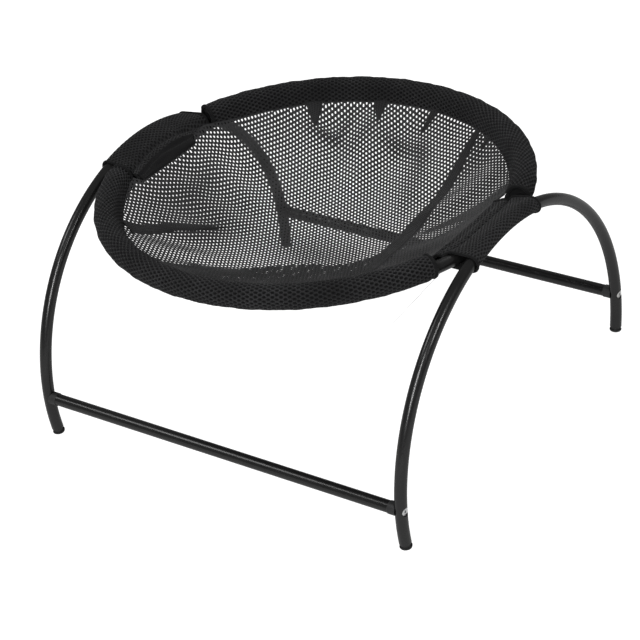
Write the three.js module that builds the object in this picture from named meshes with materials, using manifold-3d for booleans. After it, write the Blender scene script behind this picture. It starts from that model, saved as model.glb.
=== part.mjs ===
// A raised round mesh bed for a small dog or cat.
// Two bent arch tubes stand side by side and two straight crossbars tie their feet together.
// A tube ring in two halves lies between the tops of the arches. A padded mesh cover holds it all:
// two long sleeves run over the ring, two side pockets wrap an arch and the ring together, and a
// net bowl is sewn inside them.
// Millimetres, +Z up. X runs along the crossbars, the front of the bed is -Y, the floor is Z = 0.
import * as THREE from "three";
import { mergeVertices } from "three/addons/utils/BufferGeometryUtils.js";
import Module from "manifold-3d";

// ---- Driving dimensions ----
const TUBE_DIAMETER = 12.7;
const TUBE_WALL = 1;
const FIT_GAP = 0.3; // between two pieces that touch
const BORE_PLAY = 1; // between a tube and the fabric channel round it

const ARCH_SPACING = 444; // between the two arch tubes' axes, at the floor
const ARCH_RADIUS = 214; // of the bent tube's axis
const ARCH_CENTRE_HEIGHT = 35; // the bend's centre, so the feet turn back inwards
const ARCH_SPLAY = 0.02; // how far an arch leans outwards for each millimetre of height
const CROSSBAR_HEIGHT = 46;

const CAP_HEAD = 3; // the part of a foot cap below the tube's end
const CAP_PLUG = 8; // the part inside the tube
const CAP_PLAY = 0.6; // round the plug, because the tube bends away from it
const CAP_TRIM = 0.9; // how much of the rounded head is flattened where it stands

const BOLT_DIAMETER = 5;
const BOLT_LENGTH = 22; // under the head
const BOLT_HEAD_PLAY = 1.6; // how much narrower than the arch's bore the head is
const BOLT_HEAD_SINK = 1.5; // the head's face lies this far inside the tube's outer line
const BOLT_SOCKET = 4; // across the corners of the hexagon key hole
const BOLT_SOCKET_DEPTH = 2.4;
const INSERT_LENGTH = 14;
const SADDLE_WALL = 0.8; // how much thicker than the crossbar the saddle collar is, all round
const SADDLE_FLOOR = 3; // plastic between the arch and the crossbar's end
const SADDLE_GRIP = 4.5; // length of the collar over the crossbar

const RIM_CLEARANCE = 1.8; // between the ring and the top of an arch, for the two layers of fabric
const RIM_LEAN = 43.7; // degrees below level, from an arch's axis at its top to the ring's
const RIM_BUTT_GAP = 0.6; // between the ends of the two half rings
const SPIGOT_LENGTH = 44;
const SPIGOT_WALL = 1.2;

const SLEEVE_PADDING = 5.65; // between the ring's channel and the roll's surface, on average
const SLEEVE_INSET = 1.7; // the roll's centre lies inside the ring's axis
const SLEEVE_LIFT = 3.3; // and above it
const SEAM_INSET = 16.5; // from the ring's axis inwards to the sewn edge of a sleeve
const SEAM_DROP = 5; // from the ring's axis down to the sewn edge
const SLEEVE_LIP = 1.4; // half the thickness of a sleeve at its sewn edge

const POCKET_WRAP = 1; // thickness of the fabric round the two tubes
const POCKET_REACH = 35.5; // from the ring's axis inwards to a pocket's straight sewn edge
const LEFT_POCKET = [-57, 74]; // front and rear hems, along Y
const RIGHT_POCKET = [-64, 54];
const FRONT_SLEEVE_GAPS = [4.4, 16.8]; // between the left and right hems and the sleeve's sewn edge
const REAR_SLEEVE_GAPS = [0.6, 4];

const BOWL_DEPTH = 68; // below the sewn edge
const BOWL_THICKNESS = 2;
const BOWL_FULLNESS = 2.1; // 2 is a parabola, more is flatter at the bottom

// ---- Facets ----
const TUBE_SIDES = 12;
const ARCH_STEPS = 32;
const RIM_STEPS = 22;
const BOWL_SPOKES = 48;
const BOWL_RINGS = 8;
const POCKET_STEPS = 8;
const POCKET_SIDES = 20;

// ---- Values worked out from them ----
const TUBE_RADIUS = TUBE_DIAMETER / 2;
const BORE_RADIUS = TUBE_RADIUS - TUBE_WALL;
const LINING_RADIUS = TUBE_RADIUS + BORE_PLAY;
const FLAT_SHARE = Math.cos(Math.PI / TUBE_SIDES); // a flat's distance over a corner's
const PLUG_RADIUS = BORE_RADIUS * FLAT_SHARE - FIT_GAP;
const BOLT_RADIUS = BOLT_DIAMETER / 2;
const BOLT_HEAD_RADIUS = BORE_RADIUS - BOLT_HEAD_PLAY / 2;
const BOLT_HOLE = BOLT_RADIUS + FIT_GAP;
const { sin, cos, sqrt, hypot, atan2, asin, PI } = Math;
const radians = THREE.MathUtils.degToRad;

// Distance of an arch's axis from the middle plane, at a height above the floor.
const archX = (height) => ARCH_SPACING / 2 + ARCH_SPLAY * height;

// The ring hangs just inside and below the tops of the arches, and the cover is sewn to its size.
const ARCH_TOP = ARCH_CENTRE_HEIGHT + ARCH_RADIUS;
const RIM_REACH = TUBE_DIAMETER + RIM_CLEARANCE;
const RIM_RADIUS = archX(ARCH_TOP) - RIM_REACH * cos(radians(RIM_LEAN));
const RIM_HEIGHT = ARCH_TOP - RIM_REACH * sin(radians(RIM_LEAN));
const SLEEVE_RADIUS = LINING_RADIUS + SLEEVE_PADDING;
const SEAM_HEIGHT = RIM_HEIGHT - SEAM_DROP;
const SEAM_RADIUS = RIM_RADIUS - SEAM_INSET;
const POCKET_SEAM = RIM_RADIUS - POCKET_REACH; // its distance from the middle

// ---- Materials ----
const finish = (color, roughness, metalness = 0) =>
  new THREE.MeshStandardMaterial({ color, roughness, metalness });
const POWDER_COAT = () => finish(0x1b1b1c, 0.4, 0.2);
const ZINC = () => finish(0xc9cacc, 0.3, 1);
const PLASTIC = () => finish(0x161617, 0.55);
const SPACER_MESH = () => finish(0x161618, 0.9);
const NET = () => finish(0x1c1c1e, 0.85);

// ---- Solids: joining and cutting ----
const wasm = await Module();
wasm.setup();

function toSolid(geometry) {
  const bare = geometry.clone();
  bare.deleteAttribute("normal");
  bare.deleteAttribute("uv");
  const merged = mergeVertices(bare, 1e-4);
  return new wasm.Manifold(
    new wasm.Mesh({
      numProp: 3,
      vertProperties: new Float32Array(merged.attributes.position.array),
      triVerts: new Uint32Array(merged.index.array),
    }),
  );
}

function toGeometry(solid) {
  const mesh = solid.getMesh();
  const geometry = new THREE.BufferGeometry();
  geometry.setAttribute("position", new THREE.BufferAttribute(mesh.vertProperties, 3));
  geometry.setIndex(new THREE.BufferAttribute(mesh.triVerts, 1));
  geometry.computeVertexNormals();
  return geometry;
}

function cut(body, ...tools) {
  let solid = toSolid(body);
  for (const tool of tools) solid = solid.subtract(toSolid(tool));
  return toGeometry(solid);
}

function join(...bodies) {
  let solid = toSolid(bodies[0]);
  for (const body of bodies.slice(1)) solid = solid.add(toSolid(body));
  return toGeometry(solid);
}

// ---- Shapes ----
class Arc extends THREE.Curve {
  // at(angle) gives a point; the curve runs from one angle to the other, in radians.
  constructor(at, from, to) {
    super();
    this.at = at;
    this.from = from;
    this.to = to;
  }
  getPoint(t) {
    return this.at(this.from + (this.to - this.from) * t);
  }
}

// Angle 0 is the top of the arch, and positive angles go towards the rear.
const archPoint = (side) => (angle) => {
  const height = ARCH_CENTRE_HEIGHT + ARCH_RADIUS * cos(angle);
  return new THREE.Vector3(side * archX(height), ARCH_RADIUS * sin(angle), height);
};

const ringPoint = (angle) =>
  new THREE.Vector3(RIM_RADIUS * cos(angle), RIM_RADIUS * sin(angle), RIM_HEIGHT);

function disc(radius, sides = TUBE_SIDES) {
  const shape = new THREE.Shape();
  for (let i = 0; i < sides; i++) {
    const turn = (2 * PI * (i + 0.5)) / sides;
    if (i) shape.lineTo(radius * cos(turn), radius * sin(turn));
    else shape.moveTo(radius * cos(turn), radius * sin(turn));
  }
  shape.closePath();
  return shape;
}

function pipeSection(outer, inner) {
  const shape = disc(outer);
  shape.holes.push(disc(inner));
  return shape;
}

const sweep = (shape, path, steps) =>
  new THREE.ExtrudeGeometry(shape, { steps, bevelEnabled: false, extrudePath: path });

// A round bar along X, from one end to the other.
function barX(radius, from, to, sides = TUBE_SIDES) {
  const bar = new THREE.CylinderGeometry(radius, radius, Math.abs(to - from), sides);
  bar.rotateY(PI / sides);
  bar.rotateZ(PI / 2);
  bar.translate((from + to) / 2, 0, 0);
  return bar;
}

// A closed skin through rings of points that all have the same number of corners.
function loft(rings) {
  const corners = rings[0].length;
  const points = rings.flat();
  const middle = (ring) =>
    ring.reduce((sum, p) => sum.add(p), new THREE.Vector3()).divideScalar(corners);
  points.push(middle(rings[0]), middle(rings.at(-1)));
  const faces = [];
  for (let i = 0; i + 1 < rings.length; i++) {
    for (let j = 0; j < corners; j++) {
      const k = (j + 1) % corners;
      const [a, b] = [i * corners + j, i * corners + k];
      const [c, d] = [a + corners, b + corners];
      faces.push(a, c, b, b, c, d);
    }
  }
  const last = (rings.length - 1) * corners;
  for (let j = 0; j < corners; j++) {
    const k = (j + 1) % corners;
    faces.push(points.length - 2, j, k);
    faces.push(points.length - 1, last + k, last + j);
  }
  const geometry = new THREE.BufferGeometry().setFromPoints(points);
  geometry.setIndex(faces);
  geometry.computeVertexNormals();
  return geometry;
}

// ---- The object ----
const bed = new THREE.Group();
bed.name = "raised_mesh_bed";

function place(name, geometry, material, parent = bed) {
  const mesh = new THREE.Mesh(geometry, material);
  mesh.name = name;
  parent.add(mesh);
  return mesh;
}

// ---- Arch tubes ----
const CAP_DROP = CAP_HEAD - CAP_TRIM; // a tube's end stands this far above the floor
const FOOT_ANGLE = PI / 2 + asin((ARCH_CENTRE_HEIGHT - CAP_DROP) / ARCH_RADIUS);
const CROSSBAR_ANGLE = Math.acos((CROSSBAR_HEIGHT - ARCH_CENTRE_HEIGHT) / ARCH_RADIUS);
const CROSSBAR_Y = ARCH_RADIUS * sin(CROSSBAR_ANGLE);
const ARCH_AT_BAR = archX(CROSSBAR_HEIGHT);

// The outer hole lets the bolt's head in; the inner one passes only its shank.
function archTube(side) {
  const path = new Arc(archPoint(side), -FOOT_ANGLE, FOOT_ANGLE);
  const holes = [];
  for (const end of [-1, 1]) {
    const headHole = barX(BOLT_HEAD_RADIUS + FIT_GAP, 0, TUBE_DIAMETER);
    const shankHole = barX(BOLT_HOLE, -TUBE_DIAMETER, 0.1);
    for (const hole of [headHole, shankHole]) {
      if (side < 0) hole.rotateZ(PI);
      hole.translate(side * ARCH_AT_BAR, end * CROSSBAR_Y, CROSSBAR_HEIGHT);
      holes.push(hole);
    }
  }
  return cut(sweep(pipeSection(TUBE_RADIUS, BORE_RADIUS), path, ARCH_STEPS), ...holes);
}

// ---- Foot caps: a plug in the tube and a rounded head, flattened where it meets the floor ----
function footCap(side, end) {
  const head = TUBE_RADIUS;
  const edge = CAP_HEAD * 0.55;
  const plug = PLUG_RADIUS + FIT_GAP - CAP_PLAY;
  const profile = [
    [0, -CAP_HEAD],
    [head - edge * 1.5, -CAP_HEAD],
    [head - edge * 0.5, -CAP_HEAD + edge * 0.4],
    [head, -CAP_HEAD + edge * 1.2],
    [head, -FIT_GAP],
    [plug, -FIT_GAP],
    [plug, CAP_PLUG - 1],
    [plug - 1, CAP_PLUG],
    [0, CAP_PLUG],
  ].map(([r, h]) => new THREE.Vector2(r, h));
  const cap = new THREE.LatheGeometry(profile, TUBE_SIDES);
  const point = archPoint(side)(end * FOOT_ANGLE);
  const near = archPoint(side)(end * (FOOT_ANGLE - 0.001));
  const upwards = near.sub(point).normalize();
  const turn = new THREE.Quaternion().setFromUnitVectors(new THREE.Vector3(0, 1, 0), upwards);
  cap.applyQuaternion(turn);
  cap.translate(point.x, point.y, point.z);
  const floor = new THREE.BoxGeometry(4 * TUBE_DIAMETER, 4 * TUBE_DIAMETER, TUBE_DIAMETER);
  floor.translate(point.x, point.y, -TUBE_DIAMETER / 2);
  return cut(cap, floor);
}

// ---- Crossbars and what bolts them to the arches ----
const BAR_END = ARCH_AT_BAR - TUBE_RADIUS - SADDLE_FLOOR; // distance of a bar's end from the middle
const HEAD_SEAT = sqrt((BORE_RADIUS * FLAT_SHARE) ** 2 - BOLT_HEAD_RADIUS ** 2) - FIT_GAP;

function crossbar() {
  const bar = barX(TUBE_RADIUS, -BAR_END, BAR_END);
  return cut(bar, barX(BORE_RADIUS, -BAR_END - 1, BAR_END + 1));
}

// These four are drawn for the right-hand end, with X = 0 on the arch's axis.
function bolt() {
  const face = TUBE_RADIUS - BOLT_HEAD_SINK;
  const head = barX(BOLT_HEAD_RADIUS, -HEAD_SEAT, face);
  const shank = barX(BOLT_RADIUS, -HEAD_SEAT - BOLT_LENGTH, 0);
  const key = barX(BOLT_SOCKET / 2, face - BOLT_SOCKET_DEPTH, face + 1, 6);
  return cut(join(head, shank), key);
}

function threadedInsert() {
  const start = BAR_END - ARCH_AT_BAR;
  const body = barX(PLUG_RADIUS, start - INSERT_LENGTH, start);
  return cut(body, barX(BOLT_HOLE, start - INSERT_LENGTH - 1, start + 1));
}

// The arch leans over by this angle where it crosses the end of a crossbar.
const SEAT_LEAN = PI / 2 - CROSSBAR_ANGLE;

function saddle(lean) {
  const end = BAR_END - ARCH_AT_BAR;
  const body = barX(TUBE_RADIUS + SADDLE_WALL, end - SADDLE_GRIP, -TUBE_RADIUS * 0.6);
  const socket = barX(TUBE_RADIUS + FIT_GAP, end - SADDLE_GRIP - 1, end + FIT_GAP);
  const passage = barX(BOLT_HOLE, end - 1, 1);
  const seat = new THREE.CylinderGeometry(1, 1, 4 * TUBE_DIAMETER, 2 * TUBE_SIDES);
  const seatRadius = (TUBE_RADIUS + FIT_GAP) / cos(PI / (2 * TUBE_SIDES));
  seat.scale(seatRadius, 1, seatRadius);
  seat.rotateX(PI / 2 + lean);
  return cut(body, socket, passage, seat);
}

function bolted(name, geometry, material, side, end) {
  if (side < 0) geometry.rotateZ(PI);
  const mesh = place(name, geometry, material);
  mesh.position.set(side * ARCH_AT_BAR, end * CROSSBAR_Y, CROSSBAR_HEIGHT);
}

const SIDES = [["left", -1], ["right", 1]];
const ENDS = [["front", -1], ["rear", 1]];

for (const [sideName, side] of SIDES) {
  place(sideName + "_arch_tube", archTube(side), POWDER_COAT());
  for (const [endName, end] of ENDS) {
    const corner = endName + "_" + sideName;
    place(corner + "_foot_cap", footCap(side, end), PLASTIC());
    bolted(corner + "_crossbar_bolt", bolt(), ZINC(), side, end);
    bolted(corner + "_threaded_insert", threadedInsert(), ZINC(), side, end);
    bolted(corner + "_crossbar_saddle", saddle(side * end * SEAT_LEAN), PLASTIC(), side, end);
  }
}
for (const [endName, end] of ENDS) {
  const mesh = place(endName + "_crossbar", crossbar(), POWDER_COAT());
  mesh.position.set(0, end * CROSSBAR_Y, CROSSBAR_HEIGHT);
}

// ---- The ring: two half rings that push together over a spigot inside each side pocket ----
const BUTT_ANGLE = RIM_BUTT_GAP / 2 / RIM_RADIUS;
for (const [endName, end] of ENDS) {
  const path = new Arc(ringPoint, end * BUTT_ANGLE, end * (PI - BUTT_ANGLE));
  const half = sweep(pipeSection(TUBE_RADIUS, BORE_RADIUS), path, RIM_STEPS);
  place(endName + "_rim_tube", half, POWDER_COAT());
}
const SPIGOT_ANGLE = SPIGOT_LENGTH / 2 / RIM_RADIUS;
const SPIGOT_RADIUS = PLUG_RADIUS - BORE_PLAY / 2; // looser, so that it passes round the bend
for (const [sideName, side] of SIDES) {
  const middle = side < 0 ? PI : 0;
  const path = new Arc(ringPoint, middle - SPIGOT_ANGLE, middle + SPIGOT_ANGLE);
  const section = pipeSection(SPIGOT_RADIUS, SPIGOT_RADIUS - SPIGOT_WALL);
  place(sideName + "_rim_spigot", sweep(section, path, 4), ZINC());
}

// ---- Rim sleeves: a padded roll that narrows to its sewn edge, with the ring's channel in it ----
// The section is drawn outwards (r) and upwards (h) from the ring's axis.
function sleeveOutline() {
  const [centreR, centreH] = [-SLEEVE_INSET, SLEEVE_LIFT];
  const reach = hypot(SEAM_INSET - SLEEVE_INSET, SEAM_DROP + SLEEVE_LIFT);
  const towards = atan2(-SEAM_DROP - centreH, -SEAM_INSET - centreR);
  const spread = Math.acos((SLEEVE_RADIUS - SLEEVE_LIP) / reach); // to where the flanks begin
  const points = [];
  for (let i = 0; i <= TUBE_SIDES; i++) {
    const turn = towards + spread + ((2 * PI - 2 * spread) * i) / TUBE_SIDES;
    points.push([centreR + SLEEVE_RADIUS * cos(turn), centreH + SLEEVE_RADIUS * sin(turn)]);
  }
  for (const turn of [towards - spread, towards + spread]) {
    points.push([-SEAM_INSET + SLEEVE_LIP * cos(turn), -SEAM_DROP + SLEEVE_LIP * sin(turn)]);
  }
  return points;
}

// Angles go round the ring from +X towards +Y, and a sleeve runs from its first to its second.
function rimSleeve(from, to) {
  const path = new Arc(ringPoint, from, to);
  // Along a level arc that turns left, the section's first axis points down and its second inwards.
  const shape = new THREE.Shape(sleeveOutline().map(([r, h]) => new THREE.Vector2(-h, -r)));
  shape.holes.push(disc(LINING_RADIUS));
  return sweep(shape, path, RIM_STEPS);
}

// A sleeve stops at each end short of the pocket's hem there.
const hemAngle = (y) => asin(y / (SEAM_RADIUS - SLEEVE_LIP));
const frontEnds = [
  hemAngle(FRONT_SLEEVE_GAPS[0] - LEFT_POCKET[0]) - PI,
  hemAngle(RIGHT_POCKET[0] - FRONT_SLEEVE_GAPS[1]),
];
const rearEnds = [
  hemAngle(RIGHT_POCKET[1] + REAR_SLEEVE_GAPS[1]),
  PI - hemAngle(LEFT_POCKET[1] + REAR_SLEEVE_GAPS[0]),
];
place("front_rim_sleeve", rimSleeve(...frontEnds), SPACER_MESH());
place("rear_rim_sleeve", rimSleeve(...rearEnds), SPACER_MESH());

// ---- Side pockets: a taut wrap round an arch, the ring beside it and the straight sewn edge ----
function hull(points) {
  const sorted = [...points].sort((p, q) => p[0] - q[0] || p[1] - q[1]);
  const side = (list) => {
    const chain = [];
    for (const p of list) {
      while (chain.length > 1) {
        const [a, b] = chain.slice(-2);
        if ((b[0] - a[0]) * (p[1] - a[1]) - (b[1] - a[1]) * (p[0] - a[0]) > 0) break;
        chain.pop();
      }
      chain.push(p);
    }
    return chain.slice(0, -1);
  };
  return [...side(sorted), ...side(sorted.reverse())];
}

// The same outline as evenly spaced points, so that neighbouring sections match.
function resample(outline, count) {
  const closed = [...outline, outline[0]].map(([x, z]) => new THREE.Vector2(x, z));
  const path = new THREE.CurvePath();
  closed.slice(1).forEach((p, i) => path.add(new THREE.LineCurve(closed[i], p)));
  return Array.from({ length: count }, (_, i) => path.getPointAt(i / count));
}

function circlePoints([x, z], radius) {
  const turns = Array.from({ length: 24 }, (_, i) => (i * PI) / 12);
  return turns.map((turn) => [x + radius * cos(turn), z + radius * sin(turn)]);
}

function pocketSection(y) {
  const height = ARCH_CENTRE_HEIGHT + sqrt(ARCH_RADIUS ** 2 - y ** 2);
  const arch = [archX(height), height];
  const ring = [sqrt(RIM_RADIUS ** 2 - y ** 2), RIM_HEIGHT];
  const seam = [POCKET_SEAM + BOWL_THICKNESS, SEAM_HEIGHT];
  const wrap = LINING_RADIUS + POCKET_WRAP;
  return hull([
    ...circlePoints(arch, wrap),
    ...circlePoints(ring, wrap),
    ...circlePoints(seam, SLEEVE_LIP),
  ]);
}

function pocket(side, [from, to]) {
  const rings = [];
  for (let i = 0; i <= POCKET_STEPS; i++) {
    const y = from + ((to - from) * i) / POCKET_STEPS;
    const section = resample(pocketSection(y), POCKET_SIDES);
    const ring = section.map((p) => new THREE.Vector3(side * p.x, y, p.y));
    rings.push(side < 0 ? ring.reverse() : ring);
  }
  const past = 8 / ARCH_RADIUS;
  const archPath = new Arc(
    archPoint(side),
    asin(from / ARCH_RADIUS) - past,
    asin(to / ARCH_RADIUS) + past,
  );
  const turn = side < 0 ? (y) => PI - asin(y / RIM_RADIUS) : (y) => asin(y / RIM_RADIUS);
  const ringPath = new Arc(ringPoint, turn(from) - side * past, turn(to) + side * past);
  return cut(
    loft(rings),
    sweep(disc(LINING_RADIUS), archPath, POCKET_STEPS),
    sweep(disc(LINING_RADIUS), ringPath, POCKET_STEPS),
  );
}

place("left_side_pocket", pocket(-1, LEFT_POCKET), SPACER_MESH());
place("right_side_pocket", pocket(1, RIGHT_POCKET), SPACER_MESH());

// ---- Net bowl: round at front and rear, straight along the two pockets ----
function bowlEdge(angle) {
  const round = SEAM_RADIUS - SLEEVE_LIP - FIT_GAP;
  const straight = (POCKET_SEAM - FIT_GAP) / Math.max(Math.abs(cos(angle)), 1e-6);
  return Math.min(round, straight);
}

function bowlPoint(share, angle, side) {
  const r = share * bowlEdge(angle);
  const z = SEAM_HEIGHT - BOWL_DEPTH * (1 - share ** BOWL_FULLNESS);
  return new THREE.Vector3(r * cos(angle), r * sin(angle), z + (side * BOWL_THICKNESS) / 2);
}

function bowl() {
  const points = [bowlPoint(0, 0, 1), bowlPoint(0, 0, -1)];
  const index = (ring, spoke, side) =>
    2 + ((ring - 1) * BOWL_SPOKES + (spoke % BOWL_SPOKES)) * 2 + (side > 0 ? 0 : 1);
  for (let ring = 1; ring <= BOWL_RINGS; ring++) {
    for (let spoke = 0; spoke < BOWL_SPOKES; spoke++) {
      const angle = (2 * PI * spoke) / BOWL_SPOKES;
      for (const side of [1, -1]) points.push(bowlPoint(ring / BOWL_RINGS, angle, side));
    }
  }
  const faces = [];
  const quad = (a, b, c, d) => faces.push(a, b, c, a, c, d);
  for (let spoke = 0; spoke < BOWL_SPOKES; spoke++) {
    const next = spoke + 1;
    faces.push(0, index(1, spoke, 1), index(1, next, 1));
    faces.push(1, index(1, next, -1), index(1, spoke, -1));
    for (let ring = 1; ring < BOWL_RINGS; ring++) {
      const corners = (side) => [
        index(ring, spoke, side),
        index(ring + 1, spoke, side),
        index(ring + 1, next, side),
        index(ring, next, side),
      ];
      quad(...corners(1));
      quad(...corners(-1).reverse());
    }
    quad(
      index(BOWL_RINGS, spoke, 1),
      index(BOWL_RINGS, spoke, -1),
      index(BOWL_RINGS, next, -1),
      index(BOWL_RINGS, next, 1),
    );
  }
  const geometry = new THREE.BufferGeometry().setFromPoints(points);
  geometry.setIndex(faces);
  geometry.computeVertexNormals();
  return geometry;
}

place("net_bowl", bowl(), NET());

export default bed;
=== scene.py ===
# %% [markdown]
# # A raised mesh bed for a small dog or cat
#
# Two bent steel tubes stand side by side, two straight bars tie their feet together, and a ring of
# tube lies between their tops. A cover of black mesh holds the ring to the arches and carries a net
# bowl. The steel is already designed as a CAD model, so this notebook starts from that frame and
# gives every piece its final surface: powder coat, moulded plastic, plated bolts, thick knitted
# mesh with real openings, and a net whose holes go right through.

import bpy
import numpy as np
from mathutils import Matrix, Vector


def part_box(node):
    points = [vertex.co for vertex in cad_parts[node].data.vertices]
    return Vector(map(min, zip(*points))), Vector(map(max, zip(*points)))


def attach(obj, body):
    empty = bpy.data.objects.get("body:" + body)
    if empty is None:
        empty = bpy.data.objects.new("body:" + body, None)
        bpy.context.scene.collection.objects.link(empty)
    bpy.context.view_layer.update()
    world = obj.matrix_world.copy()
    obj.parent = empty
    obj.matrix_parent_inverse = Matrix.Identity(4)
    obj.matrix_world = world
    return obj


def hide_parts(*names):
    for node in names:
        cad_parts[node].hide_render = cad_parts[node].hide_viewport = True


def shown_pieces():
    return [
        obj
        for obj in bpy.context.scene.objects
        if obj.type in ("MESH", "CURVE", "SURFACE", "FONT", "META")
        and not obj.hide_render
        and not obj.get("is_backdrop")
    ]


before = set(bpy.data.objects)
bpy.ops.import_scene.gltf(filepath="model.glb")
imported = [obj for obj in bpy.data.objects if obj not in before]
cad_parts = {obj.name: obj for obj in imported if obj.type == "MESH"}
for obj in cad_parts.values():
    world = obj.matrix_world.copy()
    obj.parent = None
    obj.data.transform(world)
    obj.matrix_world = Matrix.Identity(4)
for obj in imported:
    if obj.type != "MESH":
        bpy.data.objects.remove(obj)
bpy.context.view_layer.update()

# %% [markdown]
# ## The sizes that everything follows
#
# All lengths are in metres. The arches are circles seen from the side, and they lean outwards a
# little as they rise. The ring hangs just inside and below their tops. A designer changes these few
# numbers, and the pieces below follow them.

# %% Driving sizes
MM = 0.001
TAU = 2 * np.pi
TUBE_RADIUS = 6.35 * MM
TUBE_WALL = 1 * MM
ARCH_SPACING = 444 * MM
ARCH_RADIUS = 214 * MM
ARCH_CENTRE = 35 * MM
ARCH_SPLAY = 0.02
CROSSBAR_HEIGHT = 46 * MM
ARCH_TOP = ARCH_CENTRE + ARCH_RADIUS
RIM_REACH = 14.5 * MM
RIM_LEAN = np.radians(43.7)


def arch_x(height):
    """Distance of an arch's axis from the middle plane: half the spacing plus the lean times height."""
    return ARCH_SPACING / 2 + ARCH_SPLAY * height


RIM_RADIUS = arch_x(ARCH_TOP) - RIM_REACH * np.cos(RIM_LEAN)
RIM_HEIGHT = ARCH_TOP - RIM_REACH * np.sin(RIM_LEAN)
SEAM_RADIUS = RIM_RADIUS - 16.5 * MM
SEAM_HEIGHT = RIM_HEIGHT - 5 * MM
POCKET_SEAM = RIM_RADIUS - 35.5 * MM
CROSSBAR_ANGLE = np.arccos((CROSSBAR_HEIGHT - ARCH_CENTRE) / ARCH_RADIUS)
CROSSBAR_Y = ARCH_RADIUS * np.sin(CROSSBAR_ANGLE)
ARCH_AT_BAR = arch_x(CROSSBAR_HEIGHT)
SIDES = {"left": -1, "right": 1}
ENDS = {"front": -1, "rear": 1}
rim_low, rim_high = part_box("front_rim_tube")
print(f"ring axis {RIM_RADIUS:.4f} m out and {RIM_HEIGHT:.4f} m up; CAD {(rim_low.z + rim_high.z) / 2:.4f}")

# %% [markdown]
# ## The camera
#
# The bed is seen from its front right corner, from above, with the camera tipped a little, so that
# the crossbars run downhill. The camera is placed by what it aims at, how far away it stands, and
# three angles. A long lens keeps the arches nearly parallel.

# %% Camera
VIEW_TURN = np.radians(38.77)
VIEW_HEIGHT = np.radians(32.10)
VIEW_ROLL = np.radians(-7.65)
VIEW_DISTANCE = 2.334
AIM = np.array([0.0310, -0.0588, 0.1200])
LENS = 127.64


def add_object(name, data):
    """A new object at the origin, linked to the scene."""
    made = bpy.data.objects.new(name, data)
    bpy.context.scene.collection.objects.link(made)
    return made


def aim_camera():
    """Back is the direction from the aim to the camera; right is level; up is back x right; then
    right and up turn together round back by the roll."""
    back = np.array([
        np.sin(VIEW_TURN) * np.cos(VIEW_HEIGHT),
        -np.cos(VIEW_TURN) * np.cos(VIEW_HEIGHT),
        np.sin(VIEW_HEIGHT),
    ])
    level = np.array([np.cos(VIEW_TURN), np.sin(VIEW_TURN), 0.0])
    upright = np.cross(back, level)
    right = np.cos(VIEW_ROLL) * level + np.sin(VIEW_ROLL) * upright
    up = -np.sin(VIEW_ROLL) * level + np.cos(VIEW_ROLL) * upright
    data = bpy.data.cameras.new("camera")
    data.lens = LENS
    data.clip_end = 100
    camera = add_object("camera", data)
    place = Matrix(np.stack([right, up, back], axis=1).tolist()).to_4x4()
    place.translation = Vector(AIM + VIEW_DISTANCE * back)
    camera.matrix_world = place
    bpy.context.scene.camera = camera
    return camera


print("camera at", [round(x, 3) for x in aim_camera().matrix_world.translation])

# %% [markdown]
# ## Making a piece
#
# Every new piece is a list of points worked out with numpy and a list of faces that join them. One
# helper turns them into an object at the origin, smooths it but keeps its sharp edges, gives it its
# finish, and fixes it to the frame. The bed has one rigid body, called root.

# %% Points and faces to an object
def piece(name, points, faces, material, slot, crease=35, replaces=(), depth=None):
    """An object from an (n, 3) array of points and a list of face arrays, each (faces, corners). depth
    says for each point how far down between raised strands it lies, from 0 to 1; the fabric
    materials paint shade darker by it."""
    mesh = bpy.data.meshes.new(name)
    mesh.from_pydata(np.asarray(points).reshape(-1, 3).tolist(), [], [f for a in faces for f in a.tolist()])
    mesh.validate()
    mesh.polygons.foreach_set("use_smooth", np.ones(len(mesh.polygons), bool))
    mesh.set_sharp_from_angle(angle=np.radians(crease))
    if depth is not None:
        mesh.attributes.new("Depth", "FLOAT", "POINT").data.foreach_set("value", depth.astype(np.float32))
    mesh.materials.append(material)
    made = add_object(name, mesh)
    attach(made, "root")
    if replaces:
        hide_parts(*replaces)
    return made


def grid_faces(rows, columns, closed=False):
    """Quads between neighbouring rings of points numbered row by row; closed joins the last to the first."""
    i = np.arange(rows if closed else rows - 1)[:, None]
    j = np.arange(columns)[None, :]
    i2, j2 = (i + 1) % rows, (j + 1) % columns
    corners = [i * columns + j, i * columns + j2, i2 * columns + j2, i2 * columns + j]
    return np.stack([np.broadcast_to(c, (i.size, j.size)) for c in corners], -1).reshape(-1, 4)


def solid_faces(rows, columns):
    """A skin over rings of points, and one many-sided face over each end, facing out."""
    start = np.arange(columns)[None]
    return [grid_faces(rows, columns), start[:, ::-1], (rows - 1) * columns + start]


def unit(v):
    """The same directions with a length of 1."""
    return v / np.linalg.norm(v, axis=-1, keepdims=True)


def join_meshes(parts):
    """Several (points, faces) pairs as one."""
    points, faces, count = [], [], 0
    for p, f in parts:
        p = np.asarray(p).reshape(-1, 3)
        points.append(p)
        faces += [a + count for a in f]
        count += len(p)
    return np.concatenate(points), faces


def flipped(faces):
    return [f[:, ::-1] for f in faces]


# %% [markdown]
# ## Finishes shared by several materials
#
# Two effects come back on many pieces, so each is a node group. *Fine grain* is the skin of paint
# or moulded plastic: a soft waviness with a finer grain on it, and a slow change in shine. *Yarn* is
# what a knitted mesh looks like close up: each strand is a bundle of fine filaments, with a little
# lint, and where the filaments would catch the light, streaks of painted sheen lighten the colour.

# %% Group helpers
def new_group(name, inputs, outputs):
    """A shader node group with number inputs {name: default} and outputs {name: socket type}."""
    group = bpy.data.node_groups.new(name, "ShaderNodeTree")
    for socket, default in inputs.items():
        made = group.interface.new_socket(socket, in_out="INPUT", socket_type="NodeSocketFloat")
        made.default_value = default
    for socket, kind in outputs.items():
        group.interface.new_socket(socket, in_out="OUTPUT", socket_type=kind)
    start = group.nodes.new("NodeGroupInput")
    end = group.nodes.new("NodeGroupOutput")
    return group, start, end


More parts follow.
